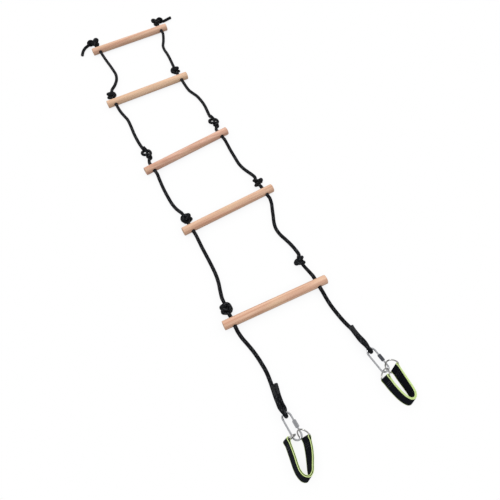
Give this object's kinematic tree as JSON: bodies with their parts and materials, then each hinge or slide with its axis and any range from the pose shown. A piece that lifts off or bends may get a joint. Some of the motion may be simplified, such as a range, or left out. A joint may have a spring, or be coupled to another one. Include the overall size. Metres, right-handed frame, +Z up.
{
  "type": "rope ladder",
  "caption": "Rope ladder with round wooden rungs on two knotted braided ropes, hung by quick links, D rings and folded webbing straps, lying loosely on the ground.",
  "frame": {"origin": "centre of the plan bounding box, at ground level", "axes": "+Z up, +Y along the ladder from the hanging straps towards the loose rope tails, +X along the rungs"},
  "size_m": [0.5762, 2.2316, 0.0529],
  "materials": {
    "beech_wood": "sanded, thin clear coat",
    "black_rope": "braided, slight sheen",
    "sewing_thread": "twisted thread",
    "zinc_plated_steel": "bright zinc",
    "nut_steel": "bright zinc",
    "nickel_plated_wire": "polished nickel",
    "webbing": "woven, with fluorescent yellow-green edges"
  },
  "bodies": {
    "rung_5": {"rung_5": "beech_wood"},
    "rung_5_ropes": {"left_rope_knot_5": "black_rope", "right_rope_knot_5": "black_rope"},
    "rung_4": {"rung_4": "beech_wood"},
    "rung_4_ropes": {"left_rope_knot_4": "black_rope", "right_rope_knot_4": "black_rope"},
    "rung_3": {"rung_3": "beech_wood"},
    "rung_3_ropes": {"left_rope_knot_3": "black_rope", "right_rope_knot_3": "black_rope"},
    "rung_2": {"rung_2": "beech_wood"},
    "rung_2_ropes": {"left_rope_knot_2": "black_rope", "right_rope_knot_2": "black_rope"},
    "rung_1": {"rung_1": "beech_wood"},
    "rung_1_ropes": {"left_rope_knot_1": "black_rope", "right_rope_knot_1": "black_rope"},
    "bay_4_5": {"left_rope_span_4_5": "black_rope", "right_rope_span_4_5": "black_rope"},
    "bay_3_4": {"left_rope_span_3_4": "black_rope", "right_rope_span_3_4": "black_rope"},
    "bay_2_3": {"left_rope_span_2_3": "black_rope", "right_rope_span_2_3": "black_rope"},
    "bay_1_2": {"left_rope_span_1_2": "black_rope", "right_rope_span_1_2": "black_rope"},
    "left_rope_tail": {"left_rope_tail": "black_rope"},
    "left_rope_lead": {"left_rope_lead": "black_rope", "left_eye_stitching": "sewing_thread"},
    "left_quick_link": {"left_quick_link": "zinc_plated_steel"},
    "left_link_nut": {"left_link_nut": "nut_steel"},
    "left_strap": {"left_strap": "webbing"},
    "left_outer_d_ring": {"left_outer_d_ring": "nickel_plated_wire"},
    "left_inner_d_ring": {"left_inner_d_ring": "nickel_plated_wire"},
    "right_rope_tail": {"right_rope_tail": "black_rope"},
    "right_rope_lead": {"right_rope_lead": "black_rope", "right_eye_stitching": "sewing_thread"},
    "right_quick_link": {"right_quick_link": "zinc_plated_steel"},
    "right_link_nut": {"right_link_nut": "nut_steel"},
    "right_strap": {"right_strap": "webbing"},
    "right_outer_d_ring": {"right_outer_d_ring": "nickel_plated_wire"},
    "right_inner_d_ring": {"right_inner_d_ring": "nickel_plated_wire"}
  },
  "joints": [
    {"name": "bend_3_to_bay_3_4", "type": "hinge", "parent": "rung_3_ropes", "child": "bay_3_4", "pos_m": [-0.04427, 0.31371, 0.017], "axis": [0.9969, 0.0785, 0], "range_deg": [-85, 85]},
    {"name": "bend_bay_3_4_to_rung_4", "type": "hinge", "parent": "bay_3_4", "child": "rung_4_ropes", "pos_m": [-0.03491, 0.59707, 0.017], "axis": [-0.9998, 0.0175, 0], "range_deg": [-85, 85]},
    {"name": "bend_4_to_bay_4_5", "type": "hinge", "parent": "rung_4_ropes", "child": "bay_4_5", "pos_m": [-0.0328, 0.71805, 0.017], "axis": [-0.9998, 0.0175, 0], "range_deg": [-85, 75]},
    {"name": "bend_bay_4_5_to_rung_5", "type": "hinge", "parent": "bay_4_5", "child": "rung_5_ropes", "pos_m": [0.03065, 0.99057, 0.017], "axis": [0.9999, -0.0157, 0], "range_deg": [-85, 85]},
    {"name": "bend_3_to_bay_2_3", "type": "hinge", "parent": "rung_3_ropes", "child": "bay_2_3", "pos_m": [-0.03227, 0.16118, 0.017], "axis": [-0.9969, -0.0785, 0], "range_deg": [-85, 85]},
    {"name": "bend_bay_2_3_to_rung_2", "type": "hinge", "parent": "bay_2_3", "child": "rung_2_ropes", "pos_m": [-0.02413, -0.07695, 0.017], "axis": [0.9997, 0.0227, 0], "range_deg": [-85, 85]},
    {"name": "bend_2_to_bay_1_2", "type": "hinge", "parent": "rung_2_ropes", "child": "bay_1_2", "pos_m": [-0.02139, -0.19792, 0.017], "axis": [0.9997, 0.0227, 0], "range_deg": [-85, 85]},
    {"name": "bend_bay_1_2_to_rung_1", "type": "hinge", "parent": "bay_1_2", "child": "rung_1_ropes", "pos_m": [-0.05393, -0.4607, 0.017], "axis": [-0.9979, 0.0645, 0], "range_deg": [-85, 85]},
    {"name": "rung_1_slide", "type": "slide", "parent": "rung_1_ropes", "child": "rung_1", "axis": [0.0645, 0.9979, 0], "range_m": [-0.012, 0.008]},
    {"name": "rung_2_slide", "type": "slide", "parent": "rung_2_ropes", "child": "rung_2", "axis": [-0.0227, 0.9997, 0], "range_m": [-0.012, 0.006]},
    {"name": "rung_3_slide", "type": "slide", "parent": "rung_3_ropes", "child": "rung_3", "axis": [-0.0785, 0.9969, 0], "range_m": [-0.012, 0.008]},
    {"name": "rung_4_slide", "type": "slide", "parent": "rung_4_ropes", "child": "rung_4", "axis": [0.0175, 0.9998, 0], "range_m": [-0.012, 0.008]},
    {"name": "rung_5_slide", "type": "slide", "parent": "rung_5_ropes", "child": "rung_5", "axis": [0.0157, 0.9999, 0], "range_m": [-0.012, 0.008]},
    {"name": "left_lead_bend", "type": "hinge", "parent": "rung_1_ropes", "child": "left_rope_lead", "pos_m": [-0.22936, -0.61671, 0.017], "axis": [-0.9979, 0.0645, 0], "range_deg": [-85, 85]},
    {"name": "right_lead_bend", "type": "hinge", "parent": "rung_1_ropes", "child": "right_rope_lead", "pos_m": [0.09995, -0.638, 0.017], "axis": [-0.9979, 0.0645, 0], "range_deg": [-85, 85]},
    {"name": "left_tail_bend", "type": "hinge", "parent": "rung_5_ropes", "child": "left_rope_tail", "pos_m": [-0.17225, 1.10557, 0.009], "axis": [-0.6489, 0.7608, 0], "range_deg": [-60, 75]},
    {"name": "right_tail_bend", "type": "hinge", "parent": "rung_5_ropes", "child": "right_rope_tail", "pos_m": [0.23775, 1.09057, 0.009], "axis": [0.1961, -0.9806, 0], "range_deg": [-60, 75]},
    {"name": "left_link_swing", "type": "hinge", "parent": "left_rope_lead", "child": "left_quick_link", "pos_m": [-0.22825, -0.91993, 0.0176], "axis": [1, 0, 0], "range_deg": [-50, 40]},
    {"name": "left_nut_travel", "type": "slide", "parent": "left_quick_link", "child": "left_link_nut", "axis": [0, 1, 0], "range_m": [0, 0.014]},
    {"name": "right_link_swing", "type": "hinge", "parent": "right_rope_lead", "child": "right_quick_link", "pos_m": [0.11711, -0.88459, 0.0176], "axis": [0.9965, 0.0837, 0], "range_deg": [-50, 40]},
    {"name": "right_nut_travel", "type": "slide", "parent": "right_quick_link", "child": "right_link_nut", "axis": [-0.0837, 0.9965, 0], "range_m": [0, 0.014]},
    {"name": "left_strap_swing", "type": "hinge", "parent": "left_quick_link", "child": "left_strap", "pos_m": [-0.22825, -0.99493, 0.0176], "axis": [0.9511, -0.309, 0], "range_deg": [-20, 44]},
    {"name": "right_strap_swing", "type": "hinge", "parent": "right_quick_link", "child": "right_strap", "pos_m": [0.12364, -0.96231, 0.0176], "axis": [0.9573, 0.289, 0], "range_deg": [-6, 34]},
    {"name": "left_outer_ring_rock", "type": "hinge", "parent": "left_strap", "child": "left_outer_d_ring", "pos_m": [-0.26405, -0.99133, 0.0304], "axis": [-0.3515, -0.0663, -0.9338], "range_deg": [-8, 8]},
    {"name": "left_inner_ring_rock", "type": "hinge", "parent": "left_strap", "child": "left_inner_d_ring", "pos_m": [-0.20825, -1.01343, 0.0248], "axis": [-0.5, 0.0695, -0.8632], "range_deg": [-8, 6]},
    {"name": "right_inner_ring_rock", "type": "hinge", "parent": "right_strap", "child": "right_inner_d_ring", "pos_m": [0.10315, -0.98783, 0.029], "axis": [0.4487, 0.0675, 0.8911], "range_deg": [-4, 1]},
    {"name": "right_outer_ring_rock", "type": "hinge", "parent": "right_strap", "child": "right_outer_d_ring", "pos_m": [0.14955, -0.97673, 0.0272], "axis": [0.564, 0.2963, 0.7708], "range_deg": [0, 5]}
  ]
}
